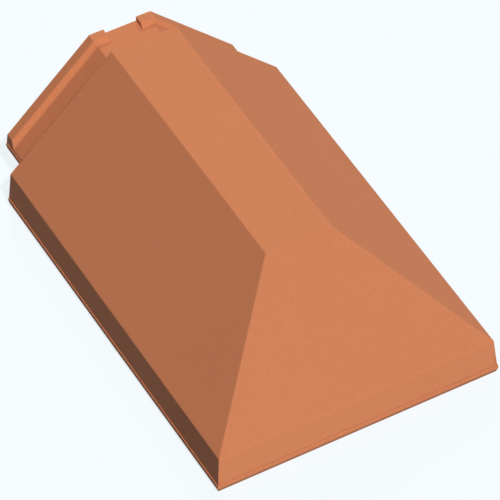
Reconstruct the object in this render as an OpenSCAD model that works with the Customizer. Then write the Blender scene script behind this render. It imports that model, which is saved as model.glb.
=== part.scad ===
// Closed angular ridge-end tile of fired clay: a hipped hood on a short skirt,
// with a stepped-in spigot that slides under the next ridge tile.
// The hood's foot stands on z = 0, the hipped end faces -Y and the spigot points to +Y.

/* [Hood] */
// Width across the top of the skirt
skirt_top_w = 240; // [220:1:290]
// Width of the flat strip along the ridge
ridge_w = 57; // [46:1:80]
// Slope of the two sides and of the hipped end, in degrees
pitch = 45; // [38:1:50]
// Length that stays in view, from the step at the spigot to the top of the front skirt
hood_l = 334; // [300:1:420]
// Thickness of the clay, square to each face
wall = 12; // [9:0.5:14]

/* [Skirt] */
// Height of the skirt between the sloping faces and the lip
skirt_h = 26; // [18:0.1:40]
// Outward lean of the skirt along both sides, in degrees from upright
side_lean = 5; // [0:0.5:10]
// Outward lean of the skirt across the front, in degrees from upright
front_lean = 7; // [0:0.5:12]

/* [Lip] */
// How far the lip's ledge stands out from the skirt
lip_out = 0.7; // [0.5:0.1:4]
// Height of the lip's upright face below the ledge
lip_face_h = 3; // [1:0.1:6]
// Height of the bevel below the upright face
lip_bevel_h = 4.2; // [1:0.1:6]
// How far the bevel draws in towards the lip's lower edge
lip_bevel_in = 1.2; // [0:0.1:2]

/* [Spigot] */
// Length of the spigot behind the hood
spigot_l = 39.8; // [30:0.1:70]
// Width across the flanks of the spigot and its rib, at the ledge of the lip
spigot_w = 205.6; // [190:0.1:210]
// How far the spigot's flat top lies below the ridge
spigot_drop = 22; // [18:0.1:26]
// How far the spigot's sides lie inside the hood's, square to the slope
spigot_inset = 17.7; // [15:0.1:20]
// How far the spigot's rim lies below the top of the skirt
spigot_rim_drop = 17; // [14:0.1:20]
// Thickness of the spigot's clay
spigot_wall = 11; // [8:0.5:14]

/* [Weather rib] */
// Height of the rib at the spigot's end, square to the faces under it
rib_h = 4.4; // [2:0.1:8]
// Length of the rib's level crest, along the tile
rib_crest = 7.8; // [4:0.1:14]
// Length of the ramp in front of the crest
rib_ramp = 3.6; // [0.5:0.1:10]
// Width of the gap in the rib on the flat top
rib_gap_w = 29; // [10:1:40]

/* [Hidden] */
// Amount by which cuts run past the faces that they open
cut = 20;
// Reach of the side views past both sides of the tile, and of the blocks under the rib
reach = 400;

// Heights of the hood
run = (skirt_top_w - ridge_w) / 2;
rise = run * tan(pitch);
lip_h = lip_face_h + lip_bevel_h;
skirt_top_z = lip_h + skirt_h;
hood_h = skirt_top_z + rise;

// Heights of the spigot
spigot_top_z = hood_h - spigot_drop;
spigot_rim_z = skirt_top_z - spigot_rim_drop;
spigot_ledge_z = spigot_rim_z + lip_h;

// Places along the tile, with the origin in the middle of its length
front_out = skirt_h * tan(front_lean) + lip_out;
tile_l = spigot_l + hood_l + front_out;
rear_y = tile_l / 2;
step_y = rear_y - spigot_l;

// Corner between two faces, moved inwards by a depth; each face is given by its normal's angle from upright
function inset_corner(corner, face_a, face_b, depth) =
    let (bisector = (face_a + face_b) / 2)
    let (far = depth / cos((face_b - face_a) / 2))
    [corner[0] - far * sin(bisector), corner[1] - far * cos(bisector)];

// Lip below a face that ends that far out and that high, listed from its ledge down to its lower edge
function lip_edge(far, ledge_z) =
    let (face_x = far + lip_out)
    let (face_z = ledge_z - lip_face_h)
    [[far, ledge_z], [face_x, ledge_z], [face_x, face_z], [face_x - lip_bevel_in, face_z - lip_bevel_h]];

// Outside of the hood from its flat top to its foot, where the top of the skirt is that far out
function hood_edge(far, lean) = concat(
    [[far - run, hood_h], [far, skirt_top_z]],
    lip_edge(far + skirt_h * tan(lean), lip_h)
);

// Inside of the hood's clay along the same edge, run out below the foot; it leans by the same angle all round
function hollow_edge(far) =
    let (top = inset_corner([far - run, hood_h], 0, pitch, wall))
    let (low = inset_corner([far, skirt_top_z], pitch, 90 - side_lean, wall))
    [top, low, [low[0] + (low[1] + cut) * tan(side_lean), -cut]];

// Half width between the spigot's sloping sides at a height
function slope_x(z) =
    ridge_w / 2 + ((hood_h - z) * cos(pitch) - spigot_inset) / sin(pitch);

// Sloping sides of the spigot, from its flat top to the height of its rim
function slope_edge() =
    [[slope_x(spigot_top_z), spigot_top_z], [slope_x(spigot_rim_z), spigot_rim_z]];

// Flanks of the spigot and its rib with the lip at their foot; they lean as the skirt's sides do
function flank_edge() =
    let (top_z = spigot_top_z + rib_h)
    let (top_x = spigot_w / 2 - (top_z - spigot_ledge_z) * tan(side_lean))
    concat([[top_x, top_z]], lip_edge(spigot_w / 2, spigot_ledge_z));

// Inside of the spigot's clay, run straight down past the foot between its flanks
function passage_edge() =
    let (top = inset_corner(slope_edge()[0], 0, pitch, spigot_wall))
    let (side_x = spigot_w / 2 - spigot_wall)
    [top, [side_x, top[1] - (side_x - top[0]) * tan(pitch)], [side_x, -cut]];

// Outline that is the same left and right, from its right half listed from top to bottom
module both_sides(half) {
    last = len(half) - 1;
    polygon(concat(half, [for (i = [last:-1:0]) [-half[i][0], half[i][1]]]));
}

// Section carried along the tile, from that place forwards to the hipped end
module along_tile(from_y, length) {
    translate([0, from_y, 0])
        rotate([90, 0, 0])
            linear_extrude(length)
                children();
}

// Side view carried across the tile, with its first axis pointing forwards from that place
module across_tile(from_y) {
    translate([0, from_y, 0])
        rotate([90, 0, -90])
            linear_extrude(2 * reach, center = true)
                children();
}

// Side view with an upright back, a level top and a shaped front edge
module side_view(edge, low_z) {
    polygon(concat([[0, low_z], [0, edge[0][1]]], edge));
}

// Outside of the hood, where its section and its side view meet in the two hips
module hood() {
    intersection() {
        along_tile(step_y, hood_l + front_out)
            both_sides(hood_edge(skirt_top_w / 2, side_lean));
        across_tile(step_y)
            side_view(hood_edge(hood_l, front_lean), 0);
    }
}

// Hollow under the hood, ending one thickness of clay in front of the step
module hollow() {
    intersection() {
        along_tile(step_y - wall, hood_l)
            both_sides(hollow_edge(skirt_top_w / 2));
        across_tile(step_y - wall)
            side_view(hollow_edge(hood_l - wall), -cut);
    }
}

// Outside of the spigot, rooted in the end wall at the step
module spigot() {
    intersection() {
        along_tile(rear_y, spigot_l + wall)
            both_sides(slope_edge());
        along_tile(rear_y, spigot_l + wall)
            both_sides(flank_edge());
    }
}

// Passage from the hollow through the end wall and out of the spigot
module passage() {
    along_tile(rear_y + cut, cut + spigot_l + 2 * wall)
        both_sides(passage_edge());
}

// Block under the rib's ramp and crest, on a face that lies that high above the tile's axis
module ramp_block(face_z) {
    across_tile(rear_y)
        polygon([
            [0, -reach],
            [0, face_z + rib_h],
            [rib_crest, face_z + rib_h],
            [rib_crest + rib_ramp, face_z],
            [rib_crest + rib_ramp, -reach]
        ]);
}

// Rib across the spigot's end: its ramps on the flat top and on the two slopes are mitred where they meet
module weather_rib() {
    slope_z = slope_x(0) * sin(pitch);
    difference() {
        intersection() {
            along_tile(rear_y, rib_crest + rib_ramp)
                both_sides(flank_edge());
            ramp_block(spigot_top_z);
            rotate([0, pitch, 0])
                ramp_block(slope_z);
            rotate([0, -pitch, 0])
                ramp_block(slope_z);
        }
        translate([-rib_gap_w / 2, step_y, spigot_top_z])
            cube([rib_gap_w, spigot_l + cut, rib_h + cut]);
    }
}

module ridge_end_tile() {
    color("#d2835c")
        difference() {
            union() {
                hood();
                spigot();
                weather_rib();
            }
            hollow();
            passage();
        }
}

ridge_end_tile();
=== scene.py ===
"""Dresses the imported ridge-end tile with softened arrises and a fired-clay finish.

A pale floor, lamps and a camera at the photograph's viewing angle stand round it.
"""

import logging
import math
from dataclasses import dataclass, field
from enum import Enum
from typing import Any, Optional, Union

import bmesh
import bpy
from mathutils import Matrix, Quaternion, Vector


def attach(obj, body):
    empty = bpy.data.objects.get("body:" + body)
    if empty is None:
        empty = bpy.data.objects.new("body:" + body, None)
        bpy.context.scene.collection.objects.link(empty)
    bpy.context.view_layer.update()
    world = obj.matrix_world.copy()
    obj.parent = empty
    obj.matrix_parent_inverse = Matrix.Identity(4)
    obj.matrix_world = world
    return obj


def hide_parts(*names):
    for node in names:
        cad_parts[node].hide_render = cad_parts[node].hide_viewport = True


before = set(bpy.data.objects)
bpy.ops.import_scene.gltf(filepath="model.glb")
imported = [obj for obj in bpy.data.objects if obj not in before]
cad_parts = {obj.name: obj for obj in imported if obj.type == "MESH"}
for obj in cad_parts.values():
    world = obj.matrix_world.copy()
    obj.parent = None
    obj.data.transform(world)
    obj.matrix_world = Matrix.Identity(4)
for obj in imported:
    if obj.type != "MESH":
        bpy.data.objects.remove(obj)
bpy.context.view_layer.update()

MM = 0.001

# Value that smooth noise varies around
NOISE_MIDDLE = 0.5

# Places of a Mix node's sockets when it blends colours
MIX_SHARE = 0
MIX_FIRST = 6
MIX_SECOND = 7
MIX_RESULT = 2

Colour = tuple[float, float, float]
Point = tuple[float, float, float]
Direction = tuple[float, float, float]
Stops = tuple[tuple[float, float], tuple[float, float]]
Plane = tuple[Vector, float]
Value = Union["Wire", float, int, Colour]

log = logging.getLogger("ridge_end_tile")


class MathOp(Enum):
    """Operations of a Math node that the finishes use."""

    ADD = "ADD"
    SUBTRACT = "SUBTRACT"
    MULTIPLY = "MULTIPLY"
    MAXIMUM = "MAXIMUM"
    MINIMUM = "MINIMUM"


class Wire:
    """A shader socket that takes part in Python sums: each operator adds one Math node."""

    def __init__(self, shader: "Shader", socket: Optional[bpy.types.NodeSocket]) -> None:
        """Keeps the socket and the shader that it belongs to.

        Args:
            shader: The shader whose tree holds the socket.
            socket: The output that the wire starts from, or None at the end of a tree.
        """
        self.shader = shader
        self.socket = socket

    def __add__(self, other: Value) -> "Wire":
        """Sum of the two."""
        return self.shader.math(MathOp.ADD, self, other)

    def __radd__(self, other: Value) -> "Wire":
        """Sum of the two, with the wire on the right."""
        return self.shader.math(MathOp.ADD, other, self)

    def __sub__(self, other: Value) -> "Wire":
        """The wire less the other."""
        return self.shader.math(MathOp.SUBTRACT, self, other)

    def __rsub__(self, other: Value) -> "Wire":
        """The other less the wire."""
        return self.shader.math(MathOp.SUBTRACT, other, self)

    def __mul__(self, other: Value) -> "Wire":
        """Product of the two."""
        return self.shader.math(MathOp.MULTIPLY, self, other)

    def __rmul__(self, other: Value) -> "Wire":
        """Product of the two, with the wire on the right."""
        return self.shader.math(MathOp.MULTIPLY, other, self)

    def at_least(self, low: float) -> "Wire":
        """The wire, raised to a lowest value."""
        return self.shader.math(MathOp.MAXIMUM, self, low)

    def at_most(self, high: float) -> "Wire":
        """The wire, held to a highest value."""
        return self.shader.math(MathOp.MINIMUM, self, high)


@dataclass(frozen=True)
class NoiseLayer:
    """Smooth noise of one fineness: features per metre, and the count and strength of finer layers."""

    scale: float
    detail: float
    roughness: float


class Shader:
    """A node tree that is written as calls and sums."""

    def __init__(self, tree: bpy.types.NodeTree) -> None:
        """Takes over a tree and empties it.

        Args:
            tree: The node tree of a material or of the world.
        """
        self.tree = tree
        tree.nodes.clear()

    def node(
        self,
        kind: str,
        settings: Optional[dict[str, Any]] = None,
        inputs: Optional[dict[Union[str, int], Value]] = None,
        out: Union[str, int] = 0,
    ) -> Wire:
        """Adds a node of any type.

        Args:
            kind: The node's type, such as ShaderNodeTexNoise.
            settings: Its own settings, which are set before its sockets.
            inputs: Values or wires for its input sockets, by name or place.
            out: The output that the wire starts from, by name or place.

        Returns:
            A wire from that output.
        """
        made = self.tree.nodes.new(kind)
        for name, value in (settings or {}).items():
            if name == "stops":
                self._set_stops(made.color_ramp, value)
            else:
                setattr(made, name, value)
        for name, value in (inputs or {}).items():
            self._feed(made.inputs[name], value)
        return Wire(self, made.outputs[out] if made.outputs else None)

    @staticmethod
    def _set_stops(ramp: bpy.types.ColorRamp, stops: Stops) -> None:
        """Gives a ramp of grey values its stops.

        Args:
            ramp: The ramp of a new node, which has two stops.
            stops: Place and grey value of the two stops.
        """
        for element, (place, grey) in zip(ramp.elements, stops):
            element.position = place
            element.color = (grey, grey, grey, 1.0)

    def _feed(self, socket: bpy.types.NodeSocket, value: Value) -> None:
        """Links a wire to an input, or sets its plain value.

        Args:
            socket: The input.
            value: A wire, a number or a colour.
        """
        if isinstance(value, Wire):
            self.tree.links.new(value.socket, socket)
        elif isinstance(value, tuple):
            socket.default_value = (*value, 1.0)
        else:
            socket.default_value = value

    def math(self, operation: MathOp, first: Value, second: Value) -> Wire:
        """One Math node on two values."""
        return self.node("ShaderNodeMath", {"operation": operation.value}, {0: first, 1: second})

    def mix(self, share: Value, first: Value, second: Value) -> Wire:
        """Blends two colours.

        Args:
            share: How much of the second colour shows, from 0 to 1.
            first: The colour at 0.
            second: The colour at 1.

        Returns:
            The blended colour.
        """
        settings = {"data_type": "RGBA", "blend_type": "MIX", "clamp_factor": True}
        values = {MIX_SHARE: share, MIX_FIRST: first, MIX_SECOND: second}
        return self.node("ShaderNodeMix", settings, values, out=MIX_RESULT)

    def blend(self, share: Value, first: Wire, second: Wire) -> Wire:
        """Blends two whole shaders."""
        return self.node("ShaderNodeMixShader", None, {0: share, 1: first, 2: second})

    def noise(self, place: Wire, layer: NoiseLayer) -> Wire:
        """Smooth noise around its middle value.

        Args:
            place: The coordinates that it is read at.
            layer: Its fineness.

        Returns:
            The noise's value.
        """
        values = {
            "Vector": place,
            "Scale": layer.scale,
            "Detail": layer.detail,
            "Roughness": layer.roughness,
        }
        return self.node("ShaderNodeTexNoise", {"noise_dimensions": "3D"}, values, out="Fac")

    def steps(self, value: Wire, stops: Stops) -> Wire:
        """Passes a value through a ramp of grey stops."""
        return self.node("ShaderNodeValToRGB", {"stops": stops}, {"Fac": value})

    def seen_directly(self) -> Wire:
        """1 for a ray from the eye, or that a gloss or a clear piece sends on, and 0 for other light.

        Returns:
            The share, from 0 to 1.
        """
        camera = self.node("ShaderNodeLightPath", out="Is Camera Ray")
        glossy = self.node("ShaderNodeLightPath", out="Is Glossy Ray")
        clear = self.node("ShaderNodeLightPath", out="Is Transmission Ray")
        return (camera + glossy + clear).at_most(1.0)


@dataclass(frozen=True)
class FiredClay:
    """Matt unglazed clay: fine sandy grain, faint flashing from the kiln, paler, rubbed arrises, and
    painted shade in the inner corners and along the foot.
    """

    name: str = "fired_clay"

    # Colours of the clay and of what varies it, and of the shade painted into its inner corners and
    # along its foot
    body: Colour = (0.615, 0.213, 0.095)
    flashed: Colour = (0.588, 0.201, 0.088)
    rubbed: Colour = (0.645, 0.228, 0.098)
    grit: Colour = (0.440, 0.120, 0.045)
    # Painted shade: a darker colour mixed into the inner corners, where shade falls
    painted_corner_shade: Colour = (0.300, 0.102, 0.045)
    # Painted shade along the foot's downward-facing bevel
    painted_foot_shade: Colour = (0.250, 0.085, 0.040)
    sand: Colour = (0.720, 0.330, 0.180)

    # Wide changes of tone, patches within them, sandy grain, and single grains per metre
    clouds: NoiseLayer = NoiseLayer(scale=14.0, detail=3.0, roughness=0.5)
    mottle: NoiseLayer = NoiseLayer(scale=90.0, detail=3.0, roughness=0.6)
    grain: NoiseLayer = NoiseLayer(scale=620.0, detail=3.0, roughness=0.65)
    speck_scale: float = 260.0

    # Where each layer starts and ends
    flashing_range: Stops = ((0.35, 0.0), (0.70, 1.0))
    sand_range: Stops = ((0.52, 0.0), (0.80, 1.0))
    grit_range: Stops = ((0.20, 1.0), (0.46, 0.0))
    speck_range: Stops = ((0.10, 1.0), (0.17, 0.0))

    # How much of each layer's colour shows
    flashing_share: float = 0.45
    mottle_share: float = 0.35
    sand_share: float = 0.30
    grit_share: float = 0.30
    speck_share: float = 0.35
    rubbed_share: float = 0.3
    # Share of the painted shade in the inner corners
    painted_corner_shade_share: float = 0.55
    # Share of the painted shade along the foot
    painted_foot_shade_share: float = 0.7

    # Rubbing that every arris has, and what the mottle adds to it in patches
    arris_layer: str = "arris"
    rub_all: float = 0.25
    rub_patches: float = 0.7

    # Height of the shade painted along the foot, and how steeply it fades towards that height
    painted_foot_shade_height: float = 5.0 * MM
    painted_foot_shade_fade: float = 2.5

    # Gloss and relief of the skin
    roughness: float = 0.83
    roughness_spread: float = 0.10
    specular: float = 0.90
    grain_depth: float = 0.12 * MM
    relief_strength: float = 0.5
    mould_hollows: float = 0.6
    speck_pits: float = 0.5

    def material(self) -> bpy.types.Material:
        """Builds the clay's material.

        Returns:
            A material that reads Object coordinates and the mesh's arris layer.
        """
        made = bpy.data.materials.new(self.name)
        made.use_nodes = True
        shader = Shader(made.node_tree)
        place = shader.node("ShaderNodeTexCoord", out="Object")
        clouds = shader.noise(place, self.clouds)
        mottle = shader.noise(place, self.mottle)
        grain = shader.noise(place, self.grain)
        specks = self._specks(shader, place)
        clay = self._colour(shader, clouds, mottle, grain, specks)
        # Wear on the arrises, and painted shade in the inner corners
        edge_toned_clay = self._rub_and_shade_edges(shader, mottle, clay)
        bsdf = shader.node(
            "ShaderNodeBsdfPrincipled",
            None,
            {
                # The base colour gets painted shade along the foot
                "Base Color": self._paint_foot_shade(shader, place, edge_toned_clay),
                "Roughness": self.roughness + self.roughness_spread * (grain - NOISE_MIDDLE),
                "Normal": self._relief(shader, mottle, grain, specks),
                "Specular IOR Level": self.specular,
            },
        )
        shader.node("ShaderNodeOutputMaterial", None, {"Surface": bsdf})
        return made

    def _specks(self, shader: Shader, place: Wire) -> Wire:
        """Single grains in the clay, about a millimetre across and well apart.

        Args:
            shader: The shader that they are added to.
            place: The coordinates that they are read at.

        Returns:
            1 in a grain and 0 between the grains.
        """
        values = {"Vector": place, "Scale": self.speck_scale}
        cells = shader.node("ShaderNodeTexVoronoi", {"feature": "F1"}, values, out="Distance")
        return shader.steps(cells, self.speck_range)

    def _colour(self, shader: Shader, clouds: Wire, mottle: Wire, grain: Wire, specks: Wire) -> Wire:
        """Colour of the clay from its layers of variation.

        Args:
            shader: The shader that the layers belong to.
            clouds: Wide changes of tone from the kiln.
            mottle: Smaller patches within them.
            grain: The sandy grain.
            specks: Single grains.

        Returns:
            The clay's colour on an open face.
        """
        flashing = self.flashing_share * shader.steps(clouds, self.flashing_range)
        patches = self.mottle_share * (mottle - NOISE_MIDDLE)
        tone = shader.mix(flashing + patches, self.body, self.flashed)
        pale = self.sand_share * shader.steps(grain, self.sand_range)
        sandy = shader.mix(pale, tone, self.sand)
        dark = self.grit_share * shader.steps(grain, self.grit_range)
        gritty = shader.mix(dark, sandy, self.grit)
        return shader.mix(self.speck_share * specks, gritty, self.grit)

    def _rub_and_shade_edges(self, shader: Shader, mottle: Wire, clay: Wire) -> Wire:
        """Rubs the arrises paler and paints shade into the inner corners.

        Args:
            shader: The shader that the colour belongs to.
            mottle: Patches that the rubbing comes in.
            clay: The clay's colour on an open face.

        Returns:
            The clay's colour with its rubbed arrises and the shade painted into its inner corners.
        """
        arris = shader.node(
            "ShaderNodeAttribute",
            {"attribute_type": "GEOMETRY", "attribute_name": self.arris_layer},
            out="Fac",
        )
        rubbing = arris.at_least(0.0) * (self.rub_all + self.rub_patches * mottle)
        # Painted shade in the inner corners, from the negative side of the arris layer
        painted_shade_mask = (-1.0 * arris).at_least(0.0)
        edge_toned_clay = shader.mix(self.rubbed_share * rubbing, clay, self.rubbed)
        return shader.mix(self.painted_corner_shade_share * painted_shade_mask, edge_toned_clay, self.painted_corner_shade)

    def _paint_foot_shade(self, shader: Shader, place: Wire, clay: Wire) -> Wire:
        """Paints shade on the lowest edge of the foot, whose bevel faces down into shade.

        Args:
            shader: The shader that the colour belongs to.
            place: The coordinates, whose height is read.
            clay: The clay's colour.

        Returns:
            The clay's colour with painted shade along its foot.
        """
        height = shader.node("ShaderNodeSeparateXYZ", None, {"Vector": place}, out="Z")
        # Painted shade, strongest at the ground and gone at the foot's given height
        fade = self.painted_foot_shade_fade - (self.painted_foot_shade_fade / self.painted_foot_shade_height) * height
        low = fade.at_least(0.0).at_most(1.0)
        return shader.mix(self.painted_foot_shade_share * low, clay, self.painted_foot_shade)

    def _relief(self, shader: Shader, mottle: Wire, grain: Wire, specks: Wire) -> Wire:
        """Bump of the sandy skin.

        Args:
            shader: The shader that the layers belong to.
            mottle: Small patches, as faint hollows of the mould.
            grain: The sandy grain.
            specks: Single grains, which leave small pits.

        Returns:
            The bumped normal.
        """
        height = grain + self.mould_hollows * mottle - self.speck_pits * specks
        values = {"Strength": self.relief_strength, "Distance": self.grain_depth, "Height": height}
        return shader.node("ShaderNodeBump", None, values, out="Normal")


@dataclass(frozen=True)
class StudioPaper:
    """Pale paper for the floor: bright to the eye, and dim to the light that it would throw back."""

    name: str = "studio_paper"
    tint: Colour = (0.918, 0.970, 0.996)
    throw_back: Colour = (0.01, 0.01, 0.01)

    # Share of its own glow in the open and in a hollow, while the rest of its light takes the shadows
    own_glow: float = 0.88
    nook_glow: float = 0.25
    nook_reach: float = 0.25
    nook_range: Stops = ((0.04, 0.0), (0.26, 1.0))
    nook_samples: int = 8

    def material(self) -> bpy.types.Material:
        """Builds the floor's material.

        Returns:
            A material that keeps part of the tile's shadow, is dim in its hollow and clear from below.
        """
        made = bpy.data.materials.new(self.name)
        made.use_nodes = True
        shader = Shader(made.node_tree)
        glow = shader.node("ShaderNodeEmission", None, {"Color": self.tint})
        paper = shader.node("ShaderNodeBsdfDiffuse", None, {"Color": self.tint})
        dim = shader.node("ShaderNodeBsdfDiffuse", None, {"Color": self.throw_back})
        bright = shader.blend(self._glow_share(shader), paper, glow)
        above = shader.blend(shader.seen_directly(), dim, bright)
        below = shader.node("ShaderNodeBsdfTransparent")
        under = shader.node("ShaderNodeNewGeometry", out="Backfacing")
        shader.node("ShaderNodeOutputMaterial", None, {"Surface": shader.blend(under, above, below)})
        return made

    def _glow_share(self, shader: Shader) -> Wire:
        """How much of the paper's light is its own glow, which is less in a hollow than in the open.

        Args:
            shader: The shader of the paper.

        Returns:
            The share, from 0 to 1.
        """
        open_sky = shader.node(
            "ShaderNodeAmbientOcclusion",
            {"samples": self.nook_samples},
            {"Distance": self.nook_reach},
            out="AO",
        )
        lit = shader.steps(open_sky, self.nook_range)
        return self.nook_glow + (self.own_glow - self.nook_glow) * lit


@dataclass
class RidgeEndTile:
    """The tile: the packed clay body with softened arrises, filleted nooks, wear along its arrises and
    painted shade in its inner corners.
    """

    node: str = "ridge_end_tile"
    piece: str = "ridge_end_tile_fired"
    body: str = "root"
    slot: str = "fired_clay"
    finish: FiredClay = field(default_factory=FiredClay)

    # Widest rounding of an arris and of an inner corner, each held to a share of the narrower face
    arris: float = 0.5 * MM
    fillet: float = 4.0 * MM
    arris_share: float = 0.35
    fillet_share: float = 0.15
    segments: int = 3
    profile: float = 0.5

    # Band of wear along the arrises and of painted shade in the inner corners, and the turn of the
    # surface that counts as a whole arris or inner corner
    wear_and_shade_band: float = 2.5 * MM
    wear_and_shade_share: float = 0.30
    whole_edge_turn: float = math.radians(15.0)

    # Tolerances for merging the triangles and for telling flat faces from rounded ones
    merge: float = 0.002 * MM
    flat_angle: float = math.radians(0.2)
    plane_match: float = 0.99999
    plane_gap: float = 0.01 * MM

    # Pull of the large faces on the shading of the rounded edges, from 1 to 100
    shading_weight: int = 100

    def build(self) -> bpy.types.Object:
        """Makes the piece from a merged copy of the CAD mesh.

        Returns:
            The piece, riding on its body in place of the CAD node.
        """
        mesh = bpy.data.meshes.new(self.piece)
        made = bpy.data.objects.new(self.piece, mesh)
        bpy.context.scene.collection.objects.link(made)
        shape = bmesh.new()
        shape.from_mesh(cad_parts[self.node].data)
        planes = self._merge_planes(shape)
        self._weigh_edges(shape)
        shape.to_mesh(mesh)
        shape.free()
        self._soften(made)
        self._band(made, planes)
        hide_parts(self.node)
        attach(made, self.body)
        return made

    def _merge_planes(self, shape: bmesh.types.BMesh) -> list[Plane]:
        """Joins the loose triangles into the body's flat faces.

        Args:
            shape: The copy of the CAD mesh.

        Returns:
            Normal and distance from the origin of each flat face.
        """
        bmesh.ops.remove_doubles(shape, verts=shape.verts[:], dist=self.merge)
        bmesh.ops.dissolve_limit(
            shape,
            angle_limit=self.flat_angle,
            use_dissolve_boundaries=False,
            verts=shape.verts[:],
            edges=shape.edges[:],
        )
        shape.normal_update()
        return [(face.normal.copy(), face.normal.dot(face.verts[0].co)) for face in shape.faces]

    @staticmethod
    def _width(face: bmesh.types.BMFace) -> float:
        """Width of a long face, from its area and its outline."""
        return 2.0 * face.calc_area() / face.calc_perimeter()

    @staticmethod
    def _shortest_beside(edge: bmesh.types.BMEdge) -> float:
        """Length of the shortest edge that meets this one."""
        return min(e.calc_length() for v in edge.verts for e in v.link_edges if e is not edge)

    def _weigh_edges(self, shape: bmesh.types.BMesh) -> None:
        """Writes on each edge how wide it is rounded, as a share of the widest.

        Args:
            shape: The merged body.
        """
        # The Bevel modifier finds this layer by its name
        weight = shape.edges.layers.float.new("bevel_weight_edge")
        for edge in shape.edges:
            narrow = min(self._width(face) for face in edge.link_faces)
            if edge.calc_face_angle_signed() > 0.0:
                wide = min(self.arris, self.arris_share * narrow)
            else:
                wide = min(self.fillet, self.fillet_share * narrow)
            edge[weight] = min(wide, self.arris_share * self._shortest_beside(edge)) / self.fillet

    def _soften(self, made: bpy.types.Object) -> None:
        """Rounds every edge by its own width.

        Args:
            made: The piece, with the widths on its edges.
        """
        rounding = made.modifiers.new("rounding", "BEVEL")
        rounding.affect = "EDGES"
        rounding.limit_method = "WEIGHT"
        rounding.width = self.fillet
        rounding.segments = self.segments
        rounding.profile = self.profile
        rounding.material = -1
        # The widths already leave room, and the modifier's own limit would narrow all edges alike
        rounding.use_clamp_overlap = False
        rounded = bmesh.new()
        rounded.from_object(made, bpy.context.evaluated_depsgraph_get())
        made.modifiers.remove(rounding)
        rounded.to_mesh(made.data)
        rounded.free()

    def _band(self, made: bpy.types.Object, planes: list[Plane]) -> None:
        """Insets the flat faces for a band along their edges, and writes the arris layer.

        Args:
            made: The rounded piece.
            planes: The body's flat faces, as normal and distance.
        """
        shape = bmesh.new()
        shape.from_mesh(made.data)
        shape.normal_update()
        for face in [f for f in shape.faces if self._on_plane(f, planes)]:
            bmesh.ops.inset_individual(
                shape,
                faces=[face],
                thickness=self._band_width(face),
                use_even_offset=True,
            )
        shape.normal_update()
        # From 1 on an arris, through 0 on a flat face, to -1 in an inner corner, where the clay gets
        # painted shade
        layer = shape.verts.layers.float.new(self.finish.arris_layer)
        for vert in shape.verts:
            turn = sum(e.calc_face_angle_signed(0.0) for e in vert.link_edges)
            vert[layer] = max(-1.0, min(1.0, turn / self.whole_edge_turn))
        for face in shape.faces:
            face.smooth = True
        shape.to_mesh(made.data)
        shape.free()
        even = made.modifiers.new("even_shading", "WEIGHTED_NORMAL")
        even.weight = self.shading_weight

    def _band_width(self, face: bmesh.types.BMFace) -> float:
        """Width of the band along a face's edges, held by the face's width and its shortest edge."""
        shortest = min(edge.calc_length() for edge in face.edges)
        return min(self.wear_and_shade_band, self.wear_and_shade_share * self._width(face), self.wear_and_shade_share * shortest)

    def _on_plane(self, face: bmesh.types.BMFace, planes: list[Plane]) -> bool:
        """Whether a face lies on one of the body's flat faces.

        Args:
            face: A face of the rounded piece.
            planes: The body's flat faces, as normal and distance.

        Returns:
            True on a flat face, and False on a rounded edge.
        """
        corner = face.verts[0].co
        return any(
            face.normal.dot(normal) > self.plane_match
            and abs(normal.dot(corner) - far) < self.plane_gap
            for normal, far in planes
        )

    def dress(self, made: bpy.types.Object) -> None:
        """Gives the piece its clay."""
        made.data.materials.clear()
        made.data.materials.append(self.finish.material())


@dataclass(frozen=True)
class Lamp:
    """A far, plain lamp with an even, matt light that adds no gloss.

    It stands in its direction from the tile and spreads over an angle in degrees. A white face that
    it meets squarely is lit to its level. A fill light may leave out the shadows.
    """

    name: str
    towards: Direction
    level: float
    spread: float
    shadow: bool = True
    tint: Colour = (1.0, 1.0, 1.0)

    def hang(self) -> bpy.types.Object:
        """Makes the lamp.

        Returns:
            The lamp, turned so that it shines from its side of the object.
        """
        light = bpy.data.lights.new(self.name, "SUN")
        light.color = self.tint
        light.energy = self.level * math.pi
        light.angle = math.radians(self.spread)
        light.use_shadow = self.shadow
        made = bpy.data.objects.new(self.name, light)
        made.visible_glossy = False
        made.rotation_mode = "QUATERNION"
        made.rotation_quaternion = Vector(self.towards).to_track_quat("Z", "Y")
        bpy.context.scene.collection.objects.link(made)
        return made


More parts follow.
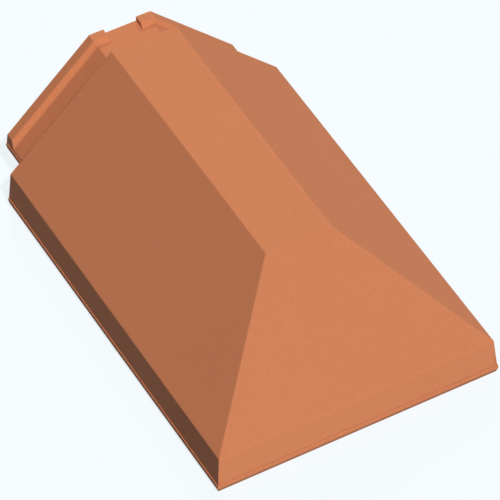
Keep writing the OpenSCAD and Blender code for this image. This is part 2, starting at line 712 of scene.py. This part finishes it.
@dataclass
class Studio:
    """Floor, sky, lamps and camera round the tile."""

    floor_half: float = 6.0
    sky_level: float = 0.03
    paper: StudioPaper = field(default_factory=StudioPaper)
    lamps: tuple[Lamp, ...] = (
        Lamp("key_lamp", towards=(0.0, -0.519, 0.855), level=0.945, spread=2.0),
        Lamp("rear_lamp", towards=(0.350, 0.750, 0.560), level=0.275, spread=8.0),
        Lamp("floor_bounce", towards=(0.0, -0.800, -0.600), level=0.53, spread=3.0, shadow=False),
        Lamp(
            "cool_fill",
            towards=(-0.720, 0.0, -0.690),
            level=0.08,
            spread=3.0,
            shadow=False,
            tint=(0.20, 0.54, 1.0),
        ),
    )

    # Point that the camera looks at, its angles in degrees, its distance in metres and its lens in mm
    target: Point = (-0.00345, -0.026, 0.05)
    azimuth: float = -29.82
    elevation: float = 47.79
    roll: float = 0.426
    distance: float = 3.805
    lens: float = 356.6
    sensor: float = 36.0

    def lay_floor(self) -> bpy.types.Object:
        """Lays the floor that the tile stands on.

        Returns:
            The floor, which isn't part of the object.
        """
        mesh = bpy.data.meshes.new("studio_floor")
        sheet = bmesh.new()
        bmesh.ops.create_grid(sheet, x_segments=1, y_segments=1, size=self.floor_half)
        sheet.to_mesh(mesh)
        sheet.free()
        floor = bpy.data.objects.new("studio_floor", mesh)
        floor.data.materials.append(self.paper.material())
        bpy.context.scene.collection.objects.link(floor)
        return floor

    def light(self) -> None:
        """Hangs the lamps and gives the sky its faint, even light."""
        for lamp in self.lamps:
            hung = lamp.hang()
            log.info("lamp %s at level %.2f", hung.name, lamp.level)
        world = bpy.data.worlds.new("studio_sky")
        world.use_nodes = True
        bpy.context.scene.world = world
        shader = Shader(world.node_tree)
        faint = tuple(self.sky_level * part for part in self.paper.tint)
        sky = shader.mix(shader.seen_directly(), faint, self.paper.tint)
        glow = shader.node("ShaderNodeBackground", None, {"Color": sky})
        shader.node("ShaderNodeOutputWorld", None, {"Surface": glow})

    def place_camera(self) -> bpy.types.Object:
        """Places the camera at the photograph's viewing angle.

        Returns:
            The scene's camera.
        """
        lens = bpy.data.cameras.new("camera")
        lens.sensor_width = self.sensor
        lens.lens = self.lens
        camera = bpy.data.objects.new("camera", lens)
        bpy.context.scene.collection.objects.link(camera)
        turn = math.radians(self.azimuth)
        rise = math.radians(self.elevation)
        level = math.cos(rise)
        back = Vector((math.sin(turn) * level, -math.cos(turn) * level, math.sin(rise)))
        camera.location = Vector(self.target) + self.distance * back
        camera.rotation_mode = "QUATERNION"
        upright = (-back).to_track_quat("-Z", "Y")
        rolled = Quaternion((0.0, 0.0, 1.0), math.radians(self.roll))
        camera.rotation_quaternion = upright @ rolled
        bpy.context.scene.camera = camera
        return camera


def main() -> None:
    """Builds and dresses the tile, then its studio."""
    logging.basicConfig(level=logging.INFO, format="%(name)s: %(message)s")
    bpy.context.scene.view_settings.view_transform = "Standard"
    tile = RidgeEndTile()
    piece = tile.build()
    tile.dress(piece)
    log.info("piece %s: %d faces, on body %s", piece.name, len(piece.data.polygons), tile.body)
    studio = Studio()
    floor = studio.lay_floor()
    studio.light()
    camera = studio.place_camera()
    log.info("stage %s and camera %s", floor.name, camera.name)


if __name__ == "__main__":
    main()
